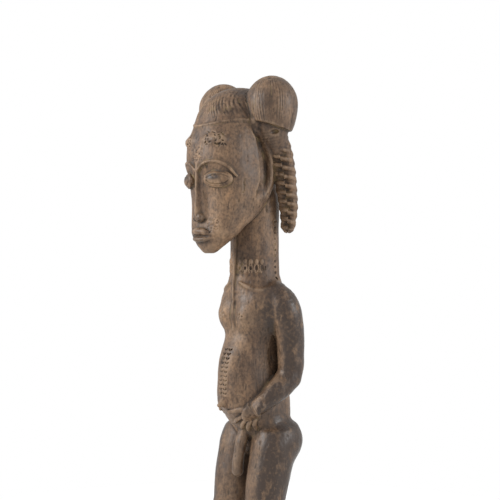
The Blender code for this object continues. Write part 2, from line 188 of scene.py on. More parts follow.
class Clay:
    """The distance from each point to the forms added so far, and which region's form is nearest."""

    def __init__(self, points):
        self.points = points
        self.folded = points.copy()
        self.folded[:, 0] = np.abs(points[:, 0])
        self.distance = np.full(len(points), FAR, np.float32)
        self.nearest = np.full(len(points), FAR, np.float32)
        self.owner = np.full(len(points), -1, np.int32)
        order = np.argsort(points[:, 2], kind="stable")
        self.order, self.heights = order, points[order, 2]

    def measure(self, form, paired):
        """The points near a form, and the form's distance at each of them."""
        low, high, distance = form
        first, last = np.searchsorted(self.heights, (low[2] - REACH, high[2] + REACH))
        index = self.order[first:last]
        p = (self.folded if paired else self.points)[index]
        keep = (p[:, 0] > low[0] - REACH) & (p[:, 0] < high[0] + REACH)
        keep &= (p[:, 1] > low[1] - REACH) & (p[:, 1] < high[1] + REACH)
        return index[keep], distance(p[keep]).astype(np.float32)

    def add(self, region, form, blend=1.0, paired=False):
        index, d = self.measure(form, paired)
        self.distance[index] = -smooth_max(-self.distance[index], -d, blend)
        closer = d < self.nearest[index]
        index = index[closer]
        self.nearest[index] = d[closer]
        self.owner[index] = REGIONS.index(region)

    def cut(self, form, blend=0.6, paired=False):
        index, d = self.measure(form, paired)
        self.distance[index] = smooth_max(self.distance[index], -d, blend)


REGIONS = [
    "base", "foot", "lower_leg", "thigh", "hips", "abdomen", "chest", "navel", "belly_scar_panel",
    "loin_carving", "upper_arm", "forearm", "hand", "neck", "neck_scar_band", "head", "nose",
    "mouth", "brow", "eye", "hair_cap", "hair_lobe", "hair_tie", "hair_rim", "plait",
]
PAIRED = {"foot", "lower_leg", "thigh", "upper_arm", "forearm", "hand", "brow", "eye",
          "hair_lobe", "hair_tie", "hair_rim", "plait"}

# ---------------------------------------------------------------- the figure, region by region

LEG_X = 19.7
FOOT_SPLIT = BASE_TOP + 13.0
KNEE_SPLIT = 81.0
LOIN_SPLIT = 178.0
WAIST_SPLIT = 222.0

LEG = [
    (24, 4, 10, 11, 12, 2),
    (31, 3.5, 9.6, 10.5, 11, 2),
    (42, 4, 12.3, 13.5, 14, 2),
    (56, 4, 15, 16, 17, 2),
    (68, -0.5, 14.4, 15, 15.6, 2),
    (76, -5.5, 13.8, 14, 13.4, 2.1),
    (83, -8, 15, 16, 13.6, 2.2),
    (91, -6.9, 15.8, 16, 15.2, 2.1),
    (112, -2.6, 17, 18.4, 17, 2.1),
    (128, 0.9, 17.3, 18.6, 18.6, 2.1),
    (140, 3, 17.2, 18, 19.8, 2.1),
    (152, 4.5, 14.8, 14.5, 17.4, 2),
]
TRUNK = [
    (130, 5, 23, 13, 14, 2.2),
    (137, 5, 30, 14, 18, 2.4),
    (146, 4.5, 31.5, 14.5, 21.5, 2.4),
    (152, 3.5, 29.8, 15, 24, 2.2),
    (157, 2, 27.5, 17, 26.5, 2.1),
    (162, 1, 26.3, 22, 30, 2),
    (167, 0, 25.8, 28, 31.5, 2),
    (177, 0, 25, 33.6, 31, 2),
    (190, 0, 24, 34, 27.5, 2.1),
    (201, 0, 23, 33.5, 25.5, 2.1),
    (210, 0, 22.6, 31.6, 24, 2.1),
    (218, 0, 22.8, 28, 23, 2.1),
    (224, 0, 23.6, 24.8, 22.5, 2.1),
    (233, 0, 27, 23, 22.5, 2.1),
    (240, 0, 30, 23, 23, 2.3),
    (248, 0, 31, 23, 23, 2.4),
    (256, 0, 30.5, 23, 22.5, 2.3),
    (264, 0, 27, 22.2, 21.5, 2.1),
    (271, 0, 22.3, 21.6, 20.7, 2),
    (276, 0, 20, 21, 20, 2),
]
BELLY = [
    (141, 0, 12, 9.5, 9, 2),
    (144.5, 0, 15.5, 12, 12, 2),
    (149, 0, 18.7, 15, 15, 2),
    (158, 0, 23.4, 21.8, 18, 2),
    (164.4, 0, 25.2, 27, 20, 2),
    (170, 0, 25.6, 32.6, 22, 2),
    (178, 0, 24.8, 34, 22, 2),
    (190, 0, 23.5, 33.5, 22, 2),
]
NECK = [
    (262, 0, 22, 22.5, 21.5, 2),
    (272, 0, 20.4, 21.3, 20.2, 2),
    (284, 0, 19.8, 20.8, 19.8, 2),
    (310, 0, 19.6, 20.6, 19.6, 2),
    (338, 0, 19.6, 20.6, 19.6, 2),
    (352, -2, 19, 20, 19, 2),
]
HEAD = [
    (293.5, -48.5, 4.5, 4, 5, 2),
    (297, -48, 9, 7.4, 8.5, 2.1),
    (302.7, -46, 14.6, 10.4, 13.5, 2.2),
    (308.4, -43.5, 20, 14.5, 17, 2.2),
    (314.6, -40, 23.3, 17.5, 20, 2.2),
    (321, -36, 25.6, 20.5, 24, 2.3),
    (328.5, -31.5, 27.5, 24.6, 27.5, 2.3),
    (342, -26.5, 30, 30, 32, 2.4),
    (352.5, -25, 30.8, 33.2, 35, 2.5),
    (363, -24.5, 31, 36.3, 36.5, 2.5),
    (376.4, -24, 30.5, 36.8, 36.5, 2.5),
    (388, -22, 29.5, 36.3, 36, 2.4),
    (397.4, -20, 27.8, 34.8, 35, 2.3),
    (406, -18, 26, 34, 34, 2.2),
    (413, -16, 23.5, 31.5, 31.5, 2.1),
    (420, -14, 18.5, 25.5, 27, 2),
    (424.5, -12.5, 12, 17.5, 19, 2),
    (427, -11.5, 5, 8, 9, 2),
]


def round_keys(rows, y):
    """Key rows of an upright round form, from its heights and radii."""
    return [(z, y, radius, radius, radius, 2) for z, radius in rows]


def form_base(clay):
    edge, worn = 2, 0.3
    rows = [
        (0, BASE_RADIUS - edge * 0.6),
        (3, BASE_RADIUS),
        (BASE_TOP - 3, BASE_RADIUS - worn),
        (BASE_TOP, BASE_RADIUS - edge),
    ]
    clay.add("base", column(round_keys(rows, BASE_Y), round_end=edge), 0.5)


def form_legs(clay):
    clay.add("thigh", column(LEG, LEG_X, 3), 3, paired=True)
    clay.add("thigh", lump((18, 12, 141), (17.5, 18.3, 19)), 6, paired=True)
    sole = BASE_TOP
    foot = [
        (LEG_X, 12, sole + 7, 9.5, 7.5),
        (LEG_X, 2, sole + 7.5, 11, 8),
        (LEG_X + 0.5, -12, sole + 5.5, 11.5, 6.5),
        (LEG_X + 1.5, -25, sole + 3.6, 12.3, 4.6),
        (LEG_X + 2, -30, sole + 3.2, 11.8, 4),
    ]
    clay.add("foot", limb(foot), 4, paired=True)
    for toe in range(5):
        x = LEG_X - 7.6 + 4.9 * toe
        tip = -38.5 + 0.9 * (toe - 0.5) ** 2 * 0.55
        radius = 2.9 - 0.2 * toe
        keys = [(x, -26, sole + 3, radius, 2.6), (x + 0.3, tip, sole + 2.4, radius, 2.2)]
        clay.add("foot", limb(keys, samples=6), 0.9, paired=True)


def form_trunk(clay):
    clay.add("abdomen", column(TRUNK, round_end=4), 4)
    clay.add("hips", column(BELLY, round_end=3), 1.6)
    clay.add("chest", lump((11.5, -15.5, 243), (12, 10.5, 14), (6, 0, 14)), 3.5, paired=True)


def form_breastbone(clay):
    """The thin ridge from the throat down the chest."""
    keel = [
        (0, -21.2, 312, 0.6, 0.8),
        (0, -21.6, 292, 0.9, 1.3),
        (0, -22.2, 276, 1, 1.4),
        (0, -23.2, 262, 1.1, 1.3),
        (0, -23.4, 246, 1.2, 1.3),
        (0, -22.9, 232, 1, 0.9),
    ]
    clay.add("chest", limb(keel), 2.2)


def form_nipples(clay):
    """Four small beads on each breast, each with a nick beside it."""
    middle, bead, nick = 10.5, (1.2, 0.9, 1.3), (0.6, 1.2, 0.6)
    for x, z in ((10.2, 245.5), (12.4, 244), (9.4, 242.6), (11.6, 241)):
        y = -25.9 + 0.05 * (x - middle) ** 2 * 3
        clay.add("chest", lump((x, y, z), bead), 0.9, paired=True)
        clay.cut(lump((x + 1.1, y - 0.6, z - 1), nick), 0.3, paired=True)


def form_collar(clay):
    """The low ridge round the foot of the neck."""
    collar = [
        (6.5, -22, 270, 0.5, 0.6),
        (13.6, -18.9, 266.2, 1, 1),
        (21, -13.6, 263.6, 1.2, 1.2),
        (24.6, -5, 265.8, 1.2, 1.2),
        (21.6, 8.3, 270.2, 0.9, 0.9),
    ]
    clay.add("chest", limb(collar), 2.6, paired=True)


def form_navel(clay):
    keys = [(0, -29, 174.5, 4, 4.2), (0, -34, 173.2, 3.2, 3.4), (0, -38, 171.8, 1.8, 1.8)]
    clay.add("navel", limb(keys), 2.5)


def form_trunk_cuts(clay):
    """The groin's crease, and the slot between the arm and the trunk."""
    groin = [
        (24, -15.5, 148.5, 0.6, 0.6),
        (16, -18.5, 143.5, 0.8, 0.8),
        (8, -19.5, 141, 0.8, 0.8),
        (3, -18.5, 140, 0.6, 0.6),
    ]
    clay.cut(limb(groin), 1.6, paired=True)
    slot = [
        (24.6, 10, 231, 0.8, 12),
        (23.4, 11, 221, 1.7, 16),
        (22.9, 11, 208, 2, 17),
        (23.4, 11, 196, 1, 12),
    ]
    clay.cut(limb(slot, samples=16), 1.6, paired=True)


def form_belly_panel(clay):
    """A raised strip down the midline, with two columns of small chevron cuts."""
    rows = 11
    top, bottom = 216, 181.0
    strip = [
        (0, -24.6, 220.5, 3.4, 1),
        (0, -27.5, 214.5, 4.8, 1.1),
        (0, -31, 206, 5.2, 1.2),
        (0, -32.9, 197, 5.3, 1.2),
        (0, -33.6, 187, 5.2, 1.2),
        (0, -33.4, 179, 4.6, 1.1),
    ]
    clay.add("belly_scar_panel", limb(strip), 1)
    heights = [key[2] for key in strip[::-1]]
    depths = [key[1:2] for key in strip[::-1]]
    for row, (y,) in enumerate(hermite(depths, heights, np.linspace(bottom, top, rows))):
        z = bottom + (top - bottom) * row / (rows - 1)
        for x, tilt in ((1.5, 38), (3.7, -38)):
            proud = 1.45 - 0.3 * (x > 2) + 0.45 * row / (rows - 1)
            notch = lump((x, y - proud, z), (1.45, 1.05, 0.65), (0, tilt, 0))
            clay.cut(notch, 0.3, paired=True)


def form_loin(clay):
    loin = [
        (1.2, -13.6, 147, 5, 4.2),
        (1, -15.8, 140, 5.2, 4.4),
        (0.4, -17.2, 132, 5, 4.3),
        (0, -18.4, 124.5, 4.8, 4.5),
        (0, -18.9, 117, 4.8, 4.6),
    ]
    clay.add("loin_carving", limb(loin), 2.2)


RIGHT_SWING = 26.0  # how far round the body the right hand lies, seen from the left hand's place


def swung(x, y, degrees):
    """A point on the left side, moved round the neck's axis towards the back."""
    c, s = math.cos(math.radians(degrees)), math.sin(math.radians(degrees))
    return x * c - y * s, y * c + x * s


def form_arms(clay):
    upper = [
        (23.4, 1.5, 260.5, 10, 11),
        (27.3, 3.5, 255, 12, 12.6),
        (30.3, 5.3, 247, 13, 13.3),
        (31.5, 7.5, 237, 12.4, 12.7),
        (31.9, 9.6, 226, 11.2, 11.9),
        (32.3, 10, 212, 10.4, 11.2),
        (32.3, 9.8, 201, 10, 10.8),
        (32, 8.3, 193.5, 9.6, 10),
    ]
    clay.add("upper_arm", limb(upper), 3, paired=True)
    near = [
        (31.8, 7.6, 193, 9.5, 9.8),
        (31, 2.5, 188, 9.8, 10),
        (30, -4.5, 182.6, 9, 9.2),
        (28.8, -10.5, 178, 7.8, 7.6),
        (26.8, -15.5, 174, 7.2, 6),
        (24.5, -18.5, 171, 6.6, 4.8),
    ]
    far = []
    for share, (x, y, z, *size) in zip(np.linspace(0, 1, len(near)), near):
        x, y = swung(x, y, RIGHT_SWING * share)
        far.append((-x, y, z, *size))
    clay.add("forearm", limb(near, side=(0, 0.3, 1)), 2.2)
    clay.add("forearm", limb(far, side=(0, 0.3, 1)), 2.2)


def form_hands(clay):
    """The left hand lies on the belly with its fingers fanned. The right one lies on the flank."""
    palm = [
        (26.5, -16.2, 173, 7.2, 5.2),
        (22.5, -19.6, 169.2, 7.4, 4.4),
        (18, -21, 165, 7.2, 3.2),
        (14.8, -20.4, 161.6, 5.4, 2.4),
    ]
    fingers = [
        ((11.6, -23.2, 163.2), (-0.5, -20.9, 157), 1.8),
        ((12.8, -20.2, 160.8), (4.5, -17.7, 152.8), 1.9),
        ((15, -17.9, 159.6), (9.6, -15.4, 151.2), 1.9),
        ((17.8, -15.6, 159.8), (15.2, -12.3, 152), 1.8),
    ]
    thumb = [
        (19.5, -22.4, 169.6, 2.6, 2.8),
        (12, -27.6, 168.4, 2.1, 2.2),
        (3, -30.4, 166.2, 1.6, 1.7),
    ]
    left, right = (1, 0, 1), (-1, RIGHT_SWING, 0.93)
    for mirror, swing, closeness in (left, right):

        def placed(x, y, z, *size):
            x, y = swung(x, y, swing)
            return (mirror * x * closeness, y * closeness, z, *size)

        across, along = swung(0.64, 0.35, swing)
        side = (mirror * across, along, 0.45)
        clay.add("hand", limb([placed(*key) for key in palm], side=side, samples=12), 1.4)
        for knuckle, tip, radius in fingers:
            middle = tuple((a + b) / 2 for a, b in zip(knuckle, tip))
            middle = (middle[0], middle[1] - 1.1, middle[2])
            keys = [(*knuckle, radius * 1.1, radius * 1.1), (*middle, radius, radius),
                    (*tip, radius * 0.9, radius * 0.8)]
            clay.add("hand", limb([placed(*key) for key in keys], samples=10), 0.7)
        clay.add("hand", limb([placed(*key) for key in thumb], samples=12), 0.9)


def form_neck(clay):
    clay.add("neck", column(NECK), 1.5)


def form_neck_band(clay):
    """A row of notches on low swellings round the neck's front, with a row of beads above it."""
    bead_height, notch_height = 286.6, 281.4
    radius, oval = 20.2, 1.035
    notches = ((14, 0.9, 1.5), (27, 1, 1.7), (40, 1.2, 2), (53, 1.4, 2.4), (66, 1.6, 2.9))
    for angle, wide, tall in notches:
        a = math.radians(angle)
        x, y = math.sin(a), -math.cos(a) * oval
        bead = lump((radius * x, radius * y, bead_height), (1, 0.3, 1.7), (0, 0, angle))
        clay.add("neck_scar_band", bead, 1.8, paired=True)
        border = lump((radius * x, radius * y, notch_height), (3.6, 0.12, 4), (0, 0, angle))
        clay.add("neck_scar_band", border, 1, paired=True)
        place = ((radius + 0.7) * x, (radius + 0.7) * y, notch_height)
        clay.cut(lump(place, (wide, 1.4, tall), (0, 0, angle)), 0.6, paired=True)


def form_nape(clay):
    """A column of dents down each side of the nape."""
    angle, radius, lowest, pitch = 106, 20.4, 273, 4.6
    x, y = math.sin(math.radians(angle)), -math.cos(math.radians(angle))
    for row in range(11):
        place = (radius * x, radius * y, lowest + pitch * row)
        clay.cut(lump(place, (1.9, 1.5, 1.3), (0, 0, angle)), 0.5, paired=True)


BROW_SWELL = (11, -49.8, 382)
BROW_SWELL_SIZE = (12.5, 9.8, 5.5)
EYE = (17.4, -53.4, 351.4)
EYE_SIZE = (12, 5.2, 6.1)
EYE_TURN = 33
UPRIGHT = (0, 0, 1)


def on_eye(across, up):
    """A point of the left eye's surface."""
    out = EYE_SIZE[1] * math.sqrt(max(1 - (across / EYE_SIZE[0]) ** 2 - (up / EYE_SIZE[2]) ** 2, 0))
    c, s = math.cos(math.radians(EYE_TURN)), math.sin(math.radians(EYE_TURN))
    return EYE[0] + across * c + out * s, EYE[1] + across * s - out * c, EYE[2] + up


def lid_curve(across, up, reach, size):
    """A curve on the eye. `across`, `up` and `reach` are shares of the eye's size."""
    keys = []
    for t in np.linspace(-reach, reach, 7):
        place = on_eye(across * EYE_SIZE[0] * t, up * EYE_SIZE[2] * math.sqrt(1 - t * t))
        keys.append((*place, *size))
    return limb(keys, side=UPRIGHT)


def form_head(clay):
    """The long head with its chin and brows, hollowed round the eye and beside the nose."""
    clay.add("head", column(HEAD, round_end=2), 1)
    clay.add("head", lump((0, -49, 308), (12, 7.6, 8)), 5)
    clay.add("head", lump(BROW_SWELL, BROW_SWELL_SIZE), 4, paired=True)
    clay.cut(lump((15.5, -63, 356.8), (11.5, 6.2, 6.4), (0, 0, 22)), 3, paired=True)
    clay.cut(lump((14, -66.5, 338), (7, 8.5, 16), (0, 0, 24)), 5, paired=True)


def form_brow(clay):
    brow = [
        (1.4, -61.4, 358.8, 0.9, 1.2),
        (7.5, -60.9, 363.4, 1, 1.5),
        (17, -57.2, 365.2, 1.1, 1.6),
        (24.8, -50.4, 361.3, 1, 1.5),
        (28.9, -44, 353.5, 0.8, 1.2),
    ]
    clay.add("brow", limb(brow, side=UPRIGHT), 1.3, paired=True)


def form_nose(clay):
    flanks = [
        (0, -56.4, 360, 3.4, 2.6),
        (0, -55.8, 346, 4.8, 3.6),
        (0, -55.4, 332, 5.8, 3.8),
        (0, -54.8, 323.5, 6.6, 4),
    ]
    ridge = [
        (0, -59.6, 364, 1.5, 2.2),
        (0, -59.3, 350, 1.6, 3),
        (0, -58.9, 336, 1.9, 3.5),
        (0, -58.7, 327, 2.7, 4.2),
        (0, -58, 321.6, 3.3, 4.3),
    ]
    clay.add("nose", limb(flanks), 2.5)
    clay.add("nose", limb(ridge), 2)
    clay.add("nose", lump((3.2, -59.2, 321.4), (2, 3, 3)), 1.6, paired=True)
    clay.cut(lump((2.6, -60.8, 318.4), (1.2, 1.6, 1.1)), 0.5, paired=True)
    clay.cut(lump((6.2, -60, 322), (0.9, 1.5, 2.4), (0, 0, 25)), 0.7, paired=True)


def form_eyes(clay):
    clay.add("eye", lump(EYE, EYE_SIZE, (0, 0, EYE_TURN)), 0.8, paired=True)
    for up in (0.98, -0.98):
        clay.add("eye", lid_curve(0.98, up, 0.92, (0.6, 0.7)), 0.8, paired=True)
    for up in (0.62, -0.70):
        clay.cut(lid_curve(0.8, up, 0.95, (0.5, 0.5)), 0.5, paired=True)


def form_mouth(clay):
    upper_lip = [(0, -59, 310.6, 2.8, 3.3), (6, -57.5, 310.2, 2.6, 2.9), (13, -52.6, 308.6, 1.3, 1.7)]
    lower_lip = [(0, -58.8, 304.2, 2.2, 3), (5.5, -57.2, 304.6, 2, 2.6), (12, -52.6, 306.2, 1, 1.5)]
    slit = [(0, -62.6, 307.5, 0.55, 2), (5, -61.2, 307.5, 0.5, 1.9), (10, -58.2, 307.4, 0.3, 1.2)]
    for lip in (upper_lip, lower_lip):
        clay.add("mouth", limb(lip, side=UPRIGHT, samples=16), 1.2, paired=True)
    clay.cut(limb(slit, side=UPRIGHT, samples=16), 0.6, paired=True)


def form_head_hollow(clay):
    """The crescent hollow between the face's rear edge and the raised rim of the hair."""
    heights = np.array([330, 334, 338.4, 343.1, 351, 362.8, 374.6, 384.9, 393])
    front = np.array([-22.5, -24, -24.4, -22.4, -20.3, -20.3, -21.9, -24.4, -29])
    back = np.array([-20, -16.5, -13.5, -10, -7.2, -6.4, -11.8, -19, -28.5])
    floor = np.array([32, 30.6, 28.6, 26.4, 24, 23.5, 24, 25.6, 29])

    def distance(p):
        a = np.interp(p[:, 2], heights, front)
        b = np.interp(p[:, 2], heights, back)
        flat = np.maximum(a - p[:, 1], p[:, 1] - b)
        flat = smooth_max(flat, np.interp(p[:, 2], heights, floor) - p[:, 0], 3)
        return np.maximum(flat, np.maximum(heights[0] - p[:, 2], p[:, 2] - heights[-1]))

    box = (floor.min(), front.min(), heights[0]), (36, back.max(), heights[-1])
    clay.cut((*box, distance), 2.6, paired=True)


def head_section(z):
    """The head's centre y, half width, front and squareness at a height."""
    keys = np.array(HEAD)
    centre, wide, front, _, square = hermite(keys[:, 1:], keys[:, 0], np.array([z]))[0]
    return centre, wide, front, square


def face_at(x, z):
    """The y of the head's front surface."""
    centre, wide, front, square = head_section(z)
    plain = centre - front * (1 - abs(x / wide) ** square) ** (1 / square)
    (swell_x, swell_y, swell_z), (across, out, up) = BROW_SWELL, BROW_SWELL_SIZE
    share = 1 - ((x - swell_x) / across) ** 2 - ((z - swell_z) / up) ** 2
    return min(plain, swell_y - out * math.sqrt(max(share, 0)))


def temple_at(y, z):
    """The x of the head's left side."""
    centre, wide, front, square = head_section(z)
    return wide * (1 - abs((y - centre) / front) ** square) ** (1 / square)


def form_face_scars(clay):
    """Patches of short shallow strokes on the cheeks, brow and forehead, and a row at each temple."""
    rng = np.random.default_rng(SEED)
    patches = [(34, 8.5, 17, 310.5, 320.5), (34, 0, 6.5, 366, 377), (34, 9, 24, 376, 389)]
    for count, near, far, low, high in patches:
        for _ in range(count):
            x, z = rng.uniform(near, far), rng.uniform(low, high)
            size, tilt = rng.uniform(0.5, 1), rng.uniform(-60, 60)
            stroke = lump((x, face_at(x, z) - 0.75, z), (size * 1.9, 0.95, size * 0.8), (0, tilt, 1.4 * x))
            clay.cut(stroke, 0.5, paired=True)
    for row in range(9):
        y, z = -37.2 + rng.uniform(-0.8, 0.8), 341.0 + 1.3 * row
        clay.cut(lump((temple_at(y, z) + 0.3, y, z), (0.8, 1, 0.6)), 0.4, paired=True)


LOBE_X, LOBE_Y, LOBE_CUT = 29.9, -8.6, 394.3
LOBE_SLOPE = 0.26  # how steeply a lobe's underside falls away outwards and backwards
LOBE_FALL = (0.656, 0.755)  # the direction in which it falls, as x and y
LOBE = [
    (386, 14), (391, 16.4), (396, 18.4), (402, 19.9), (408, 20.7), (414, 20.8),
    (420, 19.6), (426, 16.4), (430, 12.6), (433, 8), (434.6, 3.4),
]


def form_hair(clay):
    low, high, plain = column(round_keys(LOBE, LOBE_Y), LOBE_X, 1)

    def lobe(p):
        out = (p[:, 0] - LOBE_X) * LOBE_FALL[0] + (p[:, 1] - LOBE_Y) * LOBE_FALL[1]
        return smooth_max(plain(p), LOBE_CUT - LOBE_SLOPE * out - p[:, 2], 1.2)

    clay.add("hair_lobe", (low, high, lobe), 3.5, paired=True)
    tie = [
        (29, -9, 401, 14.5, 15),
        (28.3, -7, 391, 13.4, 14),
        (27.4, -3.6, 381, 11, 9.6),
        (26, 1.5, 372, 8.8, 8),
    ]
    clay.add("hair_tie", limb(tie, samples=16), 2, paired=True)
    rim = [
        (24.4, -26, 397.5, 7, 4.2),
        (24.6, -13.2, 384, 6.2, 3.2),
        (23.7, -7.6, 367, 5.6, 2.6),
        (23.2, -7.6, 351, 5.3, 2.8),
        (21.8, -11.6, 340, 5.2, 4.6),
    ]
    clay.add("hair_rim", limb(rim, samples=22), 1.6, paired=True)
    facet = lump((39.9, -16.4, 388.4), (2.5, 6, 2), (14, 0, 0))
    clay.cut(facet, 1.2, paired=True)


PLAIT = [
    (386, 29, -2.6, 9, 9.6),
    (377, 29.4, 0.6, 9.3, 9.8),
    (361, 29.2, 5.2, 9.2, 9.8),
    (344.7, 28, 9.4, 8.4, 9),
    (328.5, 26.8, 12.8, 7.4, 7.8),
    (315.5, 26, 12.8, 6, 6.2),
]
PLAIT_PITCH = 7.1  # from one row of wedges to the next
PLAIT_COLUMNS = 4
PLAIT_START = 0.55  # columns from the outward side to the first column's edge
PLAIT_SLANT = 0.42  # rows that the cuts climb from one column to the next
WEDGE_SLANT = 0.16  # rows that each cut falls back inside its own column
SHALLOW, DEEPER = 0.6, 2.8  # a wedge's depth at its thin side, and how much more at its deep side


def plait_wedges(p):
    """How deep the knife went in slanting rows with thin ridges between them, in wedges side by side."""
    table = np.array(PLAIT)[::-1]
    x, y = (np.interp(p[:, 2], table[:, 0], table[:, i]) for i in (1, 2))
    turn = np.arctan2(p[:, 1] - y, p[:, 0] - x) / (2 * np.pi) * PLAIT_COLUMNS + PLAIT_START
    side, column_number = np.mod(turn, 1.0), np.mod(np.floor(turn), 2)
    towards = np.where(column_number > 0, side, 1 - side)
    rise = np.mod(p[:, 2] / PLAIT_PITCH + PLAIT_SLANT * turn - WEDGE_SLANT * side, 1.0)
    sunk = step_up(1 - np.abs(2 * rise - 1), 0.12, 0.75)
    return sunk * (SHALLOW + DEEPER * step_up(towards, 0.25, 0.95))


def form_plaits(clay):
    keys = [(x, y, z, wide, deep) for z, x, y, wide, deep in PLAIT]
    low, high, plain = limb(keys)

    def braid(p):
        return plain(p) + plait_wedges(p)

    clay.add("plait", (low, high, braid), 0.9, paired=True)


FORMS = [
    form_base, form_legs, form_trunk, form_breastbone, form_nipples, form_collar, form_navel,
    form_trunk_cuts, form_belly_panel, form_loin, form_arms, form_hands, form_neck, form_neck_band,
    form_nape, form_head, form_brow, form_nose, form_eyes, form_mouth, form_head_hollow,
    form_face_scars, form_hair, form_plaits,
]


def sculpt(points):
    clay = Clay(points)
    for form in FORMS:
        form(clay)
    return clay


# ---------------------------------------------------------------- meshing


GRID_LOW = (-56.0, -70.0, -2.0)  # the corners of the space that holds the figure
GRID_HIGH = (56.0, 36.0, HEIGHT + 3.0)
NEAR = 1.35  # how many coarse cells from the surface the fine cells still matter
CORNERS = np.array([(x, y, z) for x in (0, 1) for y in (0, 1) for z in (0, 1)])
EDGES = [(a, b) for a in range(8) for b in range(a + 1, 8) if np.abs(CORNERS[a] - CORNERS[b]).sum() == 1]


def refined(values):
    """Each coarse cell's value, given to all of its fine cells."""
    for axis in range(3):
        values = values.repeat(COARSE_STEP, axis)
    return values


def sample_field(cell):
    """The distance on the fine grid's nodes, measured closely only near the surface."""
    low = np.array(GRID_LOW)
    coarse = cell * COARSE_STEP
    counts = np.ceil((np.array(GRID_HIGH) - low) / coarse).astype(int)
    nodes = np.indices(counts + 1).reshape(3, -1).T
    coarse_field = sculpt((low + nodes * coarse).astype(np.float32)).distance.reshape(counts + 1)
    near = np.abs(coarse_field) < coarse * NEAR
    cells = np.zeros(counts, bool)
    for dx, dy, dz in CORNERS:
        cells |= near[dx:counts[0] + dx, dy:counts[1] + dy, dz:counts[2] + dz]
    field = refined(np.where(coarse_field[:-1, :-1, :-1] < 0, -FAR, FAR).astype(np.float32))
    close = np.argwhere(refined(cells))
    field[tuple(close.T)] = sculpt((low + close * cell).astype(np.float32)).distance
    return low, field


def surface_net(field, low, cell):
    """One vertex in each cell that the surface crosses, and one quad across each crossed grid edge."""
    inside = field < 0
    shape = np.array(field.shape) - 1
    count = np.zeros(shape, np.int8)
    for x, y, z in CORNERS:
        count += inside[x:shape[0] + x, y:shape[1] + y, z:shape[2] + z]
    cells = np.argwhere((count > 0) & (count < 8))
    number = np.full(shape, -1, np.int64)
    number[tuple(cells.T)] = np.arange(len(cells))
    corner_values = np.stack([field[tuple((cells + c).T)] for c in CORNERS], 1)
    total = np.zeros((len(cells), 3))
    hits = np.zeros(len(cells))
    for a, b in EDGES:
        va, vb = corner_values[:, a], corner_values[:, b]
        crossed = (va < 0) != (vb < 0)
        t = np.where(crossed, va / np.where(va == vb, 1, va - vb), 0)
        total += np.where(crossed[:, None], CORNERS[a] + t[:, None] * (CORNERS[b] - CORNERS[a]), 0)
        hits += crossed
    points = low + (cells + total / hits[:, None]) * cell
    quads = []
    for axis in range(3):
        near, far = [slice(None)] * 3, [slice(None)] * 3
        near[axis], far[axis] = slice(0, -1), slice(1, None)
        start, end = inside[tuple(near)], inside[tuple(far)]
        other = [i for i in range(3) if i != axis]
        for sign in (1, -1):
            spots = np.argwhere((start & ~end) if sign > 0 else (~start & end))
            spots = spots[(spots[:, other] > 0).all(1) & (spots[:, other] < shape[other]).all(1)]
            ring = []
            for da, db in ((0, 0), (1, 0), (1, 1), (0, 1)):
                spot = spots.copy()
                spot[:, other[0]] -= da
                spot[:, other[1]] -= db
                ring.append(number[tuple(spot.T)])
            ring = np.stack(ring, 1)
            flip = (sign > 0) != (axis == 1)
            quads.append(ring if flip else ring[:, ::-1])
    return points, np.concatenate(quads)


def vertex_normals(points, quads):
    a, b, c, d = (points[quads[:, i]] for i in range(4))
    face = np.cross(c - a, d - b)
    normals = np.zeros_like(points)
    for i in range(4):
        for axis in range(3):
            normals[:, axis] += np.bincount(quads[:, i], face[:, axis], len(points))
    return normals / np.maximum(np.linalg.norm(normals, axis=1), 1e-9)[:, None]


def settle(points, quads, cell):
    """Moves the vertices onto the forms' true surface."""
    for _ in range(3):
        normals = vertex_normals(points, quads)
        gap = sculpt(points.astype(np.float32)).distance
        points = points - normals * np.clip(gap, -cell / 2, cell / 2)[:, None]
    return points


# ---------------------------------------------------------------- surface detail


HASH = (73856093, 19349663, 83492791)
SCRAMBLE = 1274126177
FAR_CORNER = 1000.0  # keeps every lattice number positive
SEED_STEP = 17.3


def lattice_noise(points, size, seed):
    """Smooth noise from -1 to 1. `size` is the length of one cell along x, y and z."""
    p = points / np.array(size) + FAR_CORNER + SEED_STEP * seed
    cell = np.floor(p).astype(np.int64)
    t = p - cell
    t = t * t * (3 - 2 * t)
    total = np.zeros(len(points))
    for dx, dy, dz in CORNERS:
        key = (cell[:, 0] + dx) * HASH[0] ^ (cell[:, 1] + dy) * HASH[1] ^ (cell[:, 2] + dz) * HASH[2]
        key = (key ^ (key >> 13)) * SCRAMBLE & 0x7FFFFFFF
        value = ((key ^ (key >> 16)) & 0xFFFF) / 32767.5 - 1
        weight = np.abs(1 - dx - t[:, 0]) * np.abs(1 - dy - t[:, 1]) * np.abs(1 - dz - t[:, 2])
        total += value * weight
    return total


def step_up(value, low, high):
    """0 below `low`, 1 above `high`, and a smooth climb between them."""
    t = np.clip((value - low) / (high - low), 0, 1)
    return t * t * (3 - 2 * t)


def grooves(phase, sharp):
    """A row of narrow cuts: 1 in the middle of each cut and 0 between them."""
    return (0.5 + 0.5 * np.cos(2 * np.pi * phase)) ** sharp


LOBE_LINES = 9.4  # incised lines per radian round a lobe
CAP_PITCH = 3.6
HAIR_PATCH = (401.0, 404.0, 411.0, 417.0)  # the heights between which the cap's lines are deepest


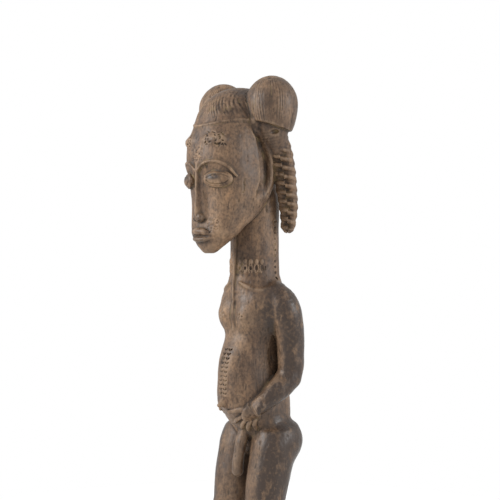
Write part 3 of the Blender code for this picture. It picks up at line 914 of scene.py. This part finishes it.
def hair_lines(points, owner):
    """How deep the hair's incised lines are at each vertex."""
    folded = np.abs(points[:, 0])
    angle = np.arctan2(folded - LOBE_X, LOBE_Y - points[:, 1])
    drift = 0.5 * lattice_noise(points, (5, 5, 12), 3)
    strokes = grooves(angle * LOBE_LINES + drift + points[:, 2] * 0.02, 2.0)
    broken = step_up(lattice_noise(points, (3, 3, 9), 4), -0.35, 0.35)
    depth = np.where(owner == REGIONS.index("hair_lobe"), 0.55 * strokes * broken, 0)
    slanted = grooves((1.7 * folded + points[:, 2]) / CAP_PITCH + 0.6 * drift, 2.0) * (0.4 + 0.6 * broken)
    low, full, fading, high = HAIR_PATCH
    patch = step_up(points[:, 2], low, full) * step_up(-points[:, 2], -high, -fading)
    patch *= step_up(folded, 2.0, 7.0) * step_up(-points[:, 1], 28.0, 34.0)
    cap = owner == REGIONS.index("hair_cap")
    return depth + np.where(cap, slanted * (0.75 * patch + 0.3 * (points[:, 2] > 400)), 0)


def pits(points, count, low, high, depth, rng):
    """Small dents at random places on the surface."""
    dent = np.zeros(len(points))
    order = np.argsort(points[:, 2])
    heights = points[order, 2]
    for spot in rng.choice(len(points), count, replace=False):
        radius = rng.uniform(low, high)
        tall = radius * rng.uniform(1.0, 3.0)
        centre = points[spot]
        first, last = np.searchsorted(heights, (centre[2] - 3 * tall, centre[2] + 3 * tall))
        index = order[first:last]
        offset = points[index] - centre
        share = (offset[:, 0] ** 2 + offset[:, 1] ** 2) / radius**2 + (offset[:, 2] / tall) ** 2
        dent[index] += depth * rng.uniform(0.4, 1.0) * np.exp(-share)
    return np.minimum(dent, depth * 1.3)


def add_detail(points, normals, owner):
    """Knife work, grain and wear, cut along the normals. Returns the points and how deep each cut is."""
    rng = np.random.default_rng(SEED)
    facets = lattice_noise(points, (5.5, 5.5, 9), 11) + 0.6 * lattice_noise(points, (2.6, 2.6, 5), 12)
    fibres = lattice_noise(points, (1.4, 1.4, 22), 13)
    lines = hair_lines(points, owner)
    checks = step_up(lattice_noise(points, (1.1, 1.1, 9), 14), 0.46, 0.78)
    checks *= step_up(lattice_noise(points, (14, 14, 24), 15), -0.1, 0.35)
    dents = pits(points, 1500, 0.4, 0.9, 0.28, rng)
    dents += pits(points, 160, 0.8, 1.8, 0.5, rng) + pits(points, 14, 2.0, 3.4, 0.7, rng)
    cut = 0.42 * lines + 0.16 * checks + dents
    front = np.isin(owner, [REGIONS.index("head"), REGIONS.index("hair_cap")]) & (points[:, 2] > 380)
    above = points[:, 2] - hairline(points)
    proud = np.where(front, 0.5 * step_up(above, -0.4, 0.6) + 0.8 * np.exp(-(above / 0.9) ** 2), 0)
    rough = lattice_noise(points, (1.5, 1.5, 2.2), 16)
    move = 0.13 * facets + 0.045 * fibres + 0.035 * rough - cut + proud
    return points + normals * move[:, None], lines, checks, dents


def quad_edges(quads):
    """The two vertices, lowest first, of every quad's first edge, then of every second edge, and so on."""
    return np.sort(np.concatenate([quads[:, [i, (i + 1) % 4]] for i in range(4)]), axis=1)


def neighbour_total(values, edges):
    """The sum of the values at the other ends of each vertex's edges."""
    total = np.empty_like(values)
    for i in range(values.shape[1]):
        total[:, i] = np.bincount(edges[:, 0], values[edges[:, 1], i], len(values))
        total[:, i] += np.bincount(edges[:, 1], values[edges[:, 0], i], len(values))
    return total


def smoothed(values, edges, rounds):
    """The values averaged with their neighbours', round after round."""
    count = np.bincount(edges.ravel(), minlength=len(values)).astype(float)
    for _ in range(rounds):
        values = 0.5 * values + 0.5 * neighbour_total(values, edges) / np.maximum(count, 1)[:, None]
    return values


def hollowness(points, normals, edges, rounds):
    """How far each vertex lies below the smoothed surface, in millimetres."""
    return ((smoothed(points, edges, rounds) - points) * normals).sum(1)


# ---------------------------------------------------------------- dividing the surface into pieces

SPLITS = [
    ("thigh", "lower_leg", KNEE_SPLIT),
    ("abdomen", "hips", LOIN_SPLIT),
]


def hairline(points):
    """The height of the hair's front edge, which rises towards the temples."""
    return 393.8 + 0.0068 * np.minimum(np.abs(points[:, 0]), 25.0) ** 2


def region_of(points):
    """The region of each point: the nearest form, with the long forms divided at set heights."""
    owner = sculpt(points.astype(np.float32)).owner
    for upper, lower, height in SPLITS:
        owner[(owner == REGIONS.index(upper)) & (points[:, 2] < height)] = REGIONS.index(lower)
    abdomen, chest = REGIONS.index("abdomen"), REGIONS.index("chest")
    owner[(owner == abdomen) & (points[:, 2] > WAIST_SPLIT)] = chest
    head = REGIONS.index("head")
    owner[(owner == head) & (points[:, 2] > hairline(points))] = REGIONS.index("hair_cap")
    owner[(owner == REGIONS.index("lower_leg")) & (points[:, 2] < FOOT_SPLIT)] = REGIONS.index("foot")
    return owner


def settle_regions(face_owner, quads, vertex_count, rounds=6):
    """Gives each stray face the commonest region around it."""
    own_vote = 2.0
    count = len(REGIONS)
    for _ in range(rounds):
        votes = np.zeros((vertex_count, count), np.float32)
        for i in range(4):
            np.add.at(votes, (quads[:, i], face_owner), 1)
        face_votes = votes[quads].sum(1)
        face_votes[np.arange(len(quads)), face_owner] += own_vote
        face_owner = face_votes.argmax(1)
    return face_owner


def keep_large(face_piece, quads, least):
    """Gives islands of a piece smaller than `least` faces to the piece around them."""
    _, owners = shared_edges(quads)
    for _ in range(4):
        island = islands(face_piece, owners, len(quads))
        size = np.bincount(island)
        small = size[island] < least
        largest = np.zeros(face_piece.max() + 1, np.int64)
        np.maximum.at(largest, face_piece[~small], size[island[~small]])
        small |= size[island] < largest[face_piece]
        if not small.any():
            break
        for _ in range(400):
            a, b = owners[:, 0], owners[:, 1]
            front = small[a] & ~small[b]
            back = small[b] & ~small[a]
            if not (front.any() or back.any()):
                break
            face_piece[a[front]] = face_piece[b[front]]
            face_piece[b[back]] = face_piece[a[back]]
            small[a[front]] = False
            small[b[back]] = False
    return face_piece


def shared_edges(quads):
    """Each edge's two vertices and its two faces."""
    ends = quad_edges(quads)
    faces = np.tile(np.arange(len(quads)), 4)
    order = np.lexsort((ends[:, 1], ends[:, 0]))
    ends, faces = ends[order], faces[order]
    same = (ends[:-1] == ends[1:]).all(1)
    first = np.flatnonzero(same)
    return ends[first], np.column_stack([faces[first], faces[first + 1]])


def islands(face_piece, owners, count):
    """A number for each connected patch of faces of one piece."""
    label = np.arange(count)
    joined = owners[face_piece[owners[:, 0]] == face_piece[owners[:, 1]]]
    while True:
        low = np.minimum(label[joined[:, 0]], label[joined[:, 1]])
        new = label.copy()
        np.minimum.at(new, joined[:, 0], low)
        np.minimum.at(new, joined[:, 1], low)
        new = new[new]
        new = new[new]
        if (new == label).all():
            return label
        label = new


def outer_surface(points, quads):
    """The largest connected surface, without any bubble that a cut left inside the figure."""
    _, owners = shared_edges(quads)
    island = islands(np.zeros(len(quads), np.int64), owners, len(quads))
    used, local = np.unique(quads[island == np.bincount(island).argmax()], return_inverse=True)
    return points[used], local.reshape(-1, 4)


def smooth_borders(points, quads, face_piece, rounds=8):
    """Draws the borders between pieces as smooth curves, without leaving the surface by much."""
    ends, owners = shared_edges(quads)
    border = ends[face_piece[owners[:, 0]] != face_piece[owners[:, 1]]]
    degree = np.bincount(border.ravel(), minlength=len(points))
    movable = degree == 2
    for _ in range(rounds):
        total = neighbour_total(points, border)
        points[movable] = 0.5 * points[movable] + 0.25 * total[movable]
    return points


WALL = 1.2  # how deep a piece's edge goes before its inner face closes it


def boundary_loops(quads):
    """The closed loops of edges that have a face on one side only, each in its faces' order."""
    starts = np.concatenate([quads[:, i] for i in range(4)])
    stops = np.concatenate([quads[:, (i + 1) % 4] for i in range(4)])
    size = max(starts.max(), stops.max()) + 1
    forward, backward = starts * size + stops, stops * size + starts
    open_edges = ~np.isin(forward, backward)
    following = {}
    for a, b in zip(starts[open_edges].tolist(), stops[open_edges].tolist()):
        following.setdefault(a, []).append(b)
    loops = []
    while following:
        start = next(iter(following))
        loop, here = [], start
        while here in following:
            after = following[here].pop()
            if not following[here]:
                del following[here]
            loop.append(here)
            here = after
            if here in loop:
                first = loop.index(here)
                loops.append(loop[first:])
                loop = loop[:first]
        if loop:
            loops.append(loop)
    return [loop for loop in loops if len(loop) > 2]


def close_piece(points, normals, quads):
    """Closes a patch of the surface with a wall behind each border and an inner face."""
    used, local = np.unique(quads, return_inverse=True)
    local = local.reshape(quads.shape)
    verts, directions = points[used], normals[used]
    faces = [tuple(q) for q in local.tolist()]
    extra, surface_count = [], len(faces)
    total = len(verts)
    for loop in boundary_loops(local):
        ring = np.array(loop)
        inner = verts[ring] - directions[ring] * WALL
        inner = 0.5 * inner + 0.25 * (np.roll(inner, 1, 0) + np.roll(inner, -1, 0))
        centre = inner.mean(0) - directions[ring].mean(0) * WALL
        base = total
        extra.extend([*inner, centre])
        total += len(ring) + 1
        hub = total - 1
        count = len(ring)
        for i in range(count):
            j = (i + 1) % count
            faces.append((loop[j], loop[i], base + i, base + j))
            faces.append((base + j, base + i, hub))
    verts = np.vstack([verts, extra]) if extra else verts
    return verts, faces, used, surface_count


def add_piece(name, points, normals, quads, looks):
    """A closed mesh object from some of the sculpture's faces, in world space."""
    verts, faces, used, surface_count = close_piece(points, normals, quads)
    placed = (verts + np.array([AXIS_X, AXIS_Y, 0.0])) * MM
    mesh = bpy.data.meshes.new(name)
    mesh.from_pydata(placed.tolist(), [], faces)
    mesh.shade_smooth()
    for key, values in looks.items():
        layer = mesh.attributes.new(key, "FLOAT", "POINT")
        row = np.zeros(len(verts), np.float32)
        row[:len(used)] = values[used]
        layer.data.foreach_set("value", row)
    loops = np.zeros(len(mesh.loops), np.int64)
    mesh.loops.foreach_get("vertex_index", loops)
    custom = np.zeros((len(loops), 3))
    surface_loops = np.arange(len(loops)) < surface_count * 4
    custom[surface_loops] = normals[used][loops[surface_loops]]
    mesh.normals_split_custom_set(custom.tolist())
    piece = bpy.data.objects.new(name, mesh)
    bpy.context.scene.collection.objects.link(piece)
    return piece


# ---------------------------------------------------------------- materials


WOOD_TONES = [
    (0.25, (0.052, 0.030, 0.018)), (0.42, (0.094, 0.055, 0.032)),
    (0.58, (0.146, 0.088, 0.050)), (0.76, (0.205, 0.128, 0.072)),
]
FLECKS = [(0.30, (0.55, 0.52, 0.50)), (0.50, (0.95, 0.94, 0.93)), (0.72, (1.35, 1.30, 1.22))]
STREAKS = [(0.30, (0.62, 0.60, 0.58)), (0.50, (1.0, 1.0, 1.0)), (0.70, (1.28, 1.24, 1.18))]
SPECKLE = [(0.36, (0.50, 0.47, 0.44)), (0.50, (1.0, 1.0, 1.0)), (0.64, (1.45, 1.42, 1.36))]
EDGE_WEAR = (0.27, 0.180, 0.112)
# painted shade: the near-black colour laid into hollows, creases and cuts
CREVICE_SHADE = (0.016, 0.010, 0.006)
DUST = (0.26, 0.175, 0.075)
POLISH = (0.031, 0.019, 0.013)
SHEEN = 0.36
BUMP_STRENGTH = 0.55
BUMP_DEPTH = 0.45 * MM


class Nodes:
    """Short ways to add a material's nodes. Each gives the new node's output."""

    def __init__(self, material):
        self.tree = material.node_tree
        self.place = self.make("ShaderNodeTexCoord").outputs["Object"]

    def make(self, kind, inputs=None, **settings):
        node = self.tree.nodes.new(kind)
        for key, value in settings.items():
            setattr(node, key, value)
        for key, value in (inputs or {}).items():
            self.feed(node.inputs[key], value)
        return node

    def feed(self, socket, value):
        if isinstance(value, bpy.types.NodeSocket):
            self.tree.links.new(value, socket)
        else:
            socket.default_value = value

    def noise(self, size, detail=5.0, stretch=(1, 1, 1), distortion=0.0):
        """Noise with features of about `size` millimetres."""
        scale = tuple(1 / (size * MM * s) for s in stretch)
        mapped = self.make("ShaderNodeMapping", {"Vector": self.place, "Scale": scale}).outputs["Vector"]
        inputs = {"Vector": mapped, "Scale": 1.0, "Detail": detail, "Distortion": distortion}
        return self.make("ShaderNodeTexNoise", inputs).outputs["Fac"]

    def attribute(self, key):
        return self.make("ShaderNodeAttribute", attribute_name=key).outputs["Fac"]

    def ramp(self, factor, stops):
        node = self.make("ShaderNodeValToRGB", {"Fac": factor})
        ramp = node.color_ramp
        for element, (place, colour) in zip(ramp.elements, (stops[0], stops[-1])):
            element.position, element.color = place, (*colour, 1)
        for place, colour in stops[1:-1]:
            ramp.elements.new(place).color = (*colour, 1)
        return node.outputs["Color"]

    def mix(self, factor, a, b, blend="MIX"):
        node = self.make("ShaderNodeMix", data_type="RGBA", blend_type=blend)
        self.feed(node.inputs[0], factor)
        for socket, colour in ((node.inputs[6], a), (node.inputs[7], b)):
            self.feed(socket, (*colour, 1) if isinstance(colour, tuple) else colour)
        return node.outputs[2]

    def ranged(self, value, low, high, to_low=0.0, to_high=1.0):
        keys = {"Value": value, "From Min": low, "From Max": high, "To Min": to_low, "To Max": to_high}
        return self.make("ShaderNodeMapRange", keys).outputs["Result"]

    def maths(self, operation, a, b):
        return self.make("ShaderNodeMath", {0: a, 1: b}, operation=operation).outputs["Value"]

    def times(self, a, b):
        return self.maths("MULTIPLY", a, b)

    def plus(self, a, b):
        return self.maths("ADD", a, b)


def plain_wood(nodes, tint, mottle, grain):
    """The wood's own colour, before wear."""
    patches = nodes.ramp(nodes.noise(26, 6.0, (1, 1, 1.7), 0.6), WOOD_TONES)
    colour = nodes.mix(0.75, patches, nodes.ramp(mottle, FLECKS), "MULTIPLY")
    colour = nodes.mix(0.35, colour, nodes.ramp(grain, STREAKS), "MULTIPLY")
    speckle = nodes.ramp(nodes.noise(1.9, 5.0, (1, 1, 1.3), 0.5), SPECKLE)
    colour = nodes.mix(0.75, colour, speckle, "MULTIPLY")
    return nodes.mix(1.0, colour, tint, "MULTIPLY")


def aged(nodes, colour, mottle, dark, black):
    """Pale edge wear, painted shade in the crevices, dust in the cuts and grey-black polish over the wood.
    """
    pale = nodes.times(nodes.ranged(nodes.attribute("ridge"), 0.02, 0.22), nodes.ranged(mottle, 0.35, 0.6))
    colour = nodes.mix(nodes.times(pale, 0.65), colour, EDGE_WEAR)
    # painted shade: hollows and cuts darkened towards near-black
    colour = nodes.mix(nodes.times(dark, 0.80), colour, CREVICE_SHADE)
    settled = nodes.ranged(nodes.noise(9, 4.0), 0.48, 0.62)
    dusty = nodes.times(nodes.ranged(nodes.attribute("cut"), 0.10, 0.5), settled)
    colour = nodes.mix(nodes.times(dusty, 0.55), colour, DUST)
    return nodes.mix(nodes.times(black, 0.84), colour, POLISH)


def carved_wood(name, tint, rough):
    """Old handled wood: brown with grain, grey-black polish, pale edge wear, dust in cuts, painted shade in
    hollows.
    """
    material = bpy.data.materials.new(name)
    material.use_nodes = True
    shader = material.node_tree.nodes["Principled BSDF"]
    nodes = Nodes(material)
    mottle = nodes.noise(6.5, 8.0, (1, 1, 2.0), 0.4)
    grain = nodes.noise(1.1, 6.0, (1, 1, 16))
    fine = nodes.noise(0.45, 4.0, (1, 1, 5))
    # painted shade mask: how deep each vertex lies in a hollow or cut
    dark = nodes.ranged(nodes.attribute("hollow"), 0.03, 0.50)
    black = nodes.times(nodes.attribute("worn"), nodes.ranged(nodes.noise(7, 9.0, (1, 1, 1.5)), 0.22, 0.48))
    black = nodes.times(black, nodes.ranged(nodes.noise(2.4, 6.0), 0.36, 0.56, 0.66, 1.0))
    colour = aged(nodes, plain_wood(nodes, tint, mottle, grain), mottle, dark, black)
    dull = nodes.ranged(mottle, 0.3, 0.7, rough - 0.08, rough + 0.12)
    dull = nodes.maths("SUBTRACT", dull, nodes.times(black, 0.12))
    dull = nodes.plus(dull, nodes.times(dark, 0.15))
    height = nodes.plus(nodes.times(grain, 0.55), nodes.times(fine, 0.25))
    height = nodes.plus(height, nodes.times(mottle, 0.6))
    relief = {"Height": height, "Strength": BUMP_STRENGTH, "Distance": BUMP_DEPTH}
    bump = nodes.make("ShaderNodeBump", relief)
    nodes.feed(shader.inputs["Base Color"], colour)
    nodes.feed(shader.inputs["Specular IOR Level"], SHEEN)
    nodes.feed(shader.inputs["Roughness"], dull)
    nodes.feed(shader.inputs["Normal"], bump.outputs["Normal"])
    return material


SLOTS = {  # each wood's tint and roughness
    "wood": ((1.0, 1.0, 1.0), 0.55),
    "dark_wood": ((0.84, 0.82, 0.81), 0.55),
    "dusty_wood": ((1.03, 1.01, 0.97), 0.60),
    "rubbed_wood": ((1.0, 1.0, 1.0), 0.52),
}
SLOT_OF = {
    "base": "dark_wood", "foot": "dark_wood", "mouth": "dark_wood", "hair_cap": "dark_wood",
    "hair_tie": "dark_wood", "chest": "rubbed_wood", "upper_arm": "rubbed_wood",
    "forearm": "rubbed_wood", "hand": "rubbed_wood", "nose": "rubbed_wood", "hair_lobe": "rubbed_wood",
    "navel": "dusty_wood", "belly_scar_panel": "dusty_wood", "neck_scar_band": "dusty_wood",
    "eye": "dusty_wood", "plait": "dusty_wood", "hair_rim": "dusty_wood",
}


# ---------------------------------------------------------------- the scene


def piece_names(points, quads, face_owner):
    """A piece number for each face and the pieces' names. A paired region makes a left and a right one."""
    middle = points[quads].mean(1)
    names, number = [], np.zeros(len(quads), np.int64)
    for index, region in enumerate(REGIONS):
        mine = face_owner == index
        if region in PAIRED:
            for side, chosen in (("left", middle[:, 0] > 0), ("right", middle[:, 0] <= 0)):
                number[mine & chosen] = len(names)
                names.append(f"{region}_{side}")
        else:
            number[mine] = len(names)
            names.append(region)
    return number, names


def nodes_for(name):
    """The frame's nodes that a piece stands for."""
    region, _, side = name.rpartition("_")
    if name == "chest":
        return [name, "nipple_left", "nipple_right"]
    if region == "thigh":
        return [name, f"buttock_{side}"]
    return [name]


SMALL_ROUNDS, LARGE_ROUNDS = 8, 60  # rounds of smoothing that show up strokes, and creases between forms


def shape_figure(cell):
    """The settled surface as points and quads, with each quad's piece number and the pieces' names."""
    low, field = sample_field(cell)
    points, quads = outer_surface(*surface_net(field, low, cell))
    points = settle(points, quads, cell)
    face_owner = settle_regions(region_of(points[quads].mean(1)), quads, len(points))
    number, names = piece_names(points, quads, face_owner)
    number = keep_large(number, quads, int(LEAST_PATCH / cell**2))
    return smooth_borders(points, quads, number), quads, number, names


def detail_figure(points, quads, cell):
    """The detailed points, their normals, and what the materials read at each vertex."""
    points, lines, checks, dents = add_detail(points, vertex_normals(points, quads), region_of(points))
    normals = vertex_normals(points, quads)
    edges = np.unique(quad_edges(quads), axis=0)
    scale = (FINE_CELL / cell) ** 2
    small = hollowness(points, normals, edges, int(SMALL_ROUNDS * scale) + 1)
    large = hollowness(points, normals, edges, int(LARGE_ROUNDS * scale) + 1)
    # hollow is a painted shade mask: deeper creases, incised lines, checks and dents get darker wood
    hollow = np.clip(small * 1.6, 0, 1) + np.clip(large * 0.45, 0, 1)
    looks = {
        "hollow": hollow + 0.35 * lines + 0.35 * checks + 0.7 * dents,
        "ridge": np.clip(-small * 1.5, 0, 1) + np.clip(-large * 0.18, 0, 0.5),
        "cut": np.clip(small * 2.5, 0, 1) + 0.5 * lines,
        "worn": worn_by_hands(points, normals),
    }
    return points, normals, looks


def build_figure():
    cell = FINE_CELL
    points, quads, number, names = shape_figure(cell)
    points, normals, looks = detail_figure(points, quads, cell)
    materials = {slot: carved_wood(slot, *settings) for slot, settings in SLOTS.items()}
    for index, name in enumerate(names):
        mine = number == index
        if not mine.any():
            continue
        piece = add_piece(name, points, normals, quads[mine], looks)
        region = name.rpartition("_")[0]
        slot = SLOT_OF.get(name, SLOT_OF.get(region, "wood"))
        piece.data.materials.append(materials[slot])
        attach(piece, "root")
        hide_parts(*nodes_for(name))


def spot(points, centre, radii, power=1):
    """1 at a place on the figure, falling to 0 outside the radii."""
    offset = (points - np.array(centre)) / np.array(radii)
    return np.exp(-((offset**2).sum(1) ** power))


def worn_by_hands(points, normals):
    """Where handling has polished the wood to a dark shine: the outer faces of arms, thighs and lobes."""
    folded = points.copy()
    folded[:, 0] = np.abs(points[:, 0])
    outward = normals[:, 0] * np.sign(points[:, 0])
    below_neck = step_up(-points[:, 2], -285, -262)
    below_waist = step_up(-points[:, 2], -166, -146)
    outer = step_up(folded[:, 0], 18, 29) * step_up(outward, 0.0, 0.55)
    handled = 0.12 + 0.18 * below_neck + 0.30 * below_waist + outer * (0.25 + 0.75 * below_neck)
    pupil = spot(folded, on_eye(-3.4, 1.8), (5.6, 5.6, 2.7), power=2)
    lips = spot(folded, (0, -60, 305), (11, 9, 7))
    nostril = spot(folded, (3, -61, 320), (3.5, 3.5, 4.5))
    return np.clip(handled + 1.4 * pupil + 0.75 * lips + 0.8 * nostril, 0, 1.4)


VIEW_AZIMUTH = 49.0  # degrees from the figure's front towards its left
VIEW_DISTANCE = 0.900  # metres from the neck's axis, like the lengths below
VIEW_HEIGHT = 0.296
VIEW_ACROSS = -0.0041
VIEW_WIDTH = 0.4112  # the width of the picture at the neck's axis


def add_camera():
    a = math.radians(VIEW_AZIMUTH)
    right = Vector((math.cos(a), math.sin(a), 0))
    back = Vector((math.sin(a), -math.cos(a), 0))
    axis = Vector((AXIS_X * MM, AXIS_Y * MM, VIEW_HEIGHT))
    data = bpy.data.cameras.new("camera")
    data.lens = data.sensor_width * VIEW_DISTANCE / VIEW_WIDTH
    camera = bpy.data.objects.new("camera", data)
    bpy.context.scene.collection.objects.link(camera)
    camera.location = axis + right * VIEW_ACROSS + back * VIEW_DISTANCE
    camera.rotation_euler = (math.radians(90), 0, a)
    bpy.context.scene.camera = camera


def add_lamp(name, angle, height, distance, size, power):
    """An area lamp aimed at the chest. `angle` is measured as the camera's azimuth is."""
    a = math.radians(angle)
    data = bpy.data.lights.new(name, "AREA")
    data.shape, data.size, data.energy = "DISK", size, power
    lamp = bpy.data.objects.new(name, data)
    bpy.context.scene.collection.objects.link(lamp)
    lamp.location = (distance * math.sin(a), -distance * math.cos(a), height)
    chest = Vector((0, 0, 0.28))
    lamp.rotation_euler = (chest - lamp.location).to_track_quat("-Z", "Y").to_euler()


def add_floor():
    radius, thickness = 0.5, 0.01
    bpy.ops.mesh.primitive_cylinder_add(
        vertices=128, radius=radius, depth=thickness, location=(0, 0, -thickness / 2)
    )
    floor = bpy.context.object
    floor.name = "floor"
    material = bpy.data.materials.new("floor")
    material.use_nodes = True
    shader = material.node_tree.nodes["Principled BSDF"]
    shader.inputs["Base Color"].default_value = (0.82, 0.82, 0.81, 1)
    shader.inputs["Roughness"].default_value = 0.8
    floor.data.materials.append(material)


def add_studio():
    """A white surround with a soft light from the front and one from the back."""
    world = bpy.data.worlds.new("studio")
    world.use_nodes = True
    background = world.node_tree.nodes["Background"]
    background.inputs["Color"].default_value = (1.0, 1.0, 1.0, 1)
    background.inputs["Strength"].default_value = 1.0
    bpy.context.scene.world = world
    add_lamp("key", angle=-25, height=0.75, distance=1.1, size=0.5, power=14)
    add_lamp("side", angle=120, height=0.6, distance=1.2, size=0.5, power=9)
    bpy.context.scene.view_settings.view_transform = "Standard"


build_figure()
add_camera()
add_floor()
add_studio()
